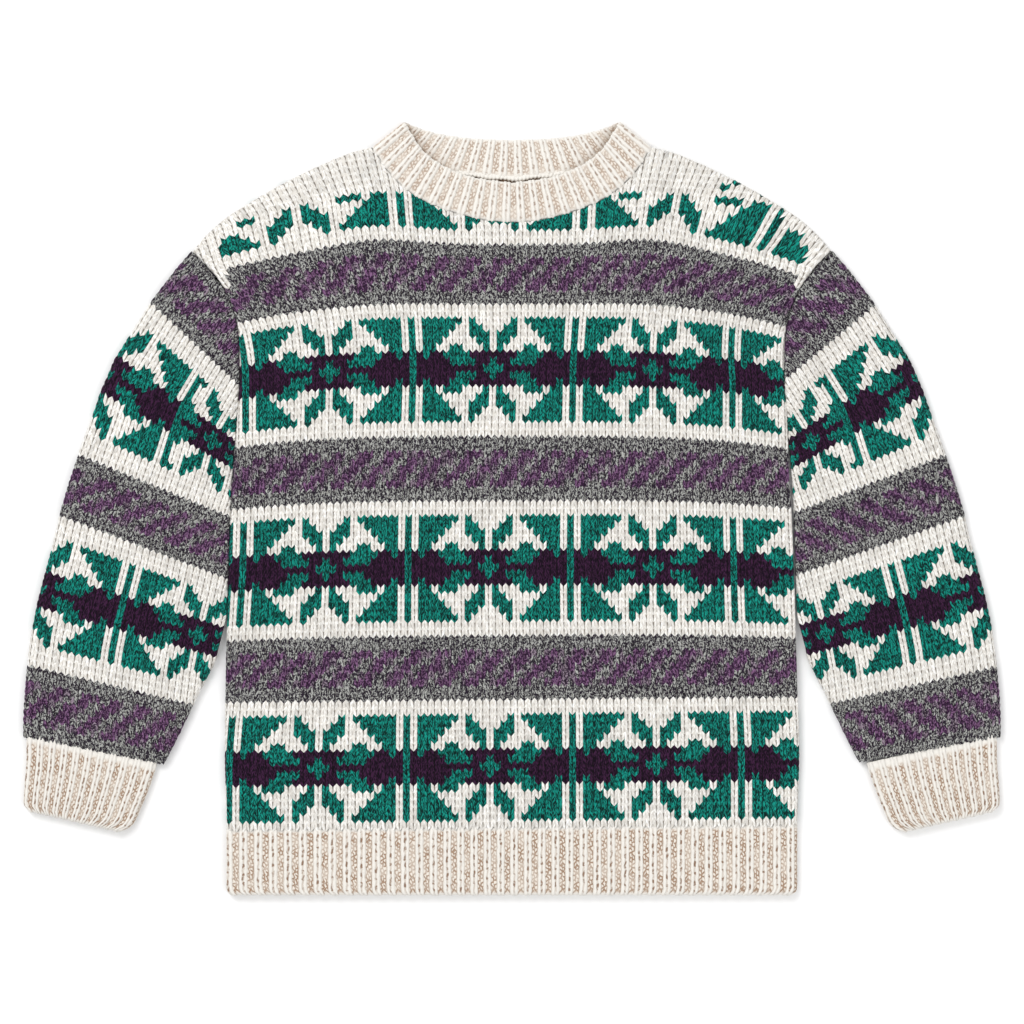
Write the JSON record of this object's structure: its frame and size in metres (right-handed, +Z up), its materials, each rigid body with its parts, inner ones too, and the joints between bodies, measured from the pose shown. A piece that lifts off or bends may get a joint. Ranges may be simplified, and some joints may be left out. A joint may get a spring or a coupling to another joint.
{
  "type": "sweater",
  "caption": "Crew-neck fair isle sweater of thick wool, laid flat with its front showing: banded colourwork body and sleeves, ribbed neck, hem and cuffs.",
  "frame": {"origin": "bottom centre of the laid-out sweater's bounding box, on the surface that it lies on", "axes": "+X across the sweater towards its left sleeve as worn, +Y from the hem to the neck, +Z up out of the surface"},
  "size_m": [0.8248, 0.6524, 0.0114],
  "materials": {
    "fair_isle_wool": "matt stranded knitting in cream, green, plum, purple and grey marl wool",
    "rib_wool": "matt 1x1 rib in natural cream wool with brown flecks"
  },
  "bodies": {
    "root": {"front": "fair_isle_wool", "back": "fair_isle_wool", "sleeve_right": "fair_isle_wool", "sleeve_left": "fair_isle_wool", "hem_front": "rib_wool", "hem_back": "rib_wool", "cuff_right": "rib_wool", "cuff_left": "rib_wool", "neckband": "rib_wool"}
  },
  "joints": []
}
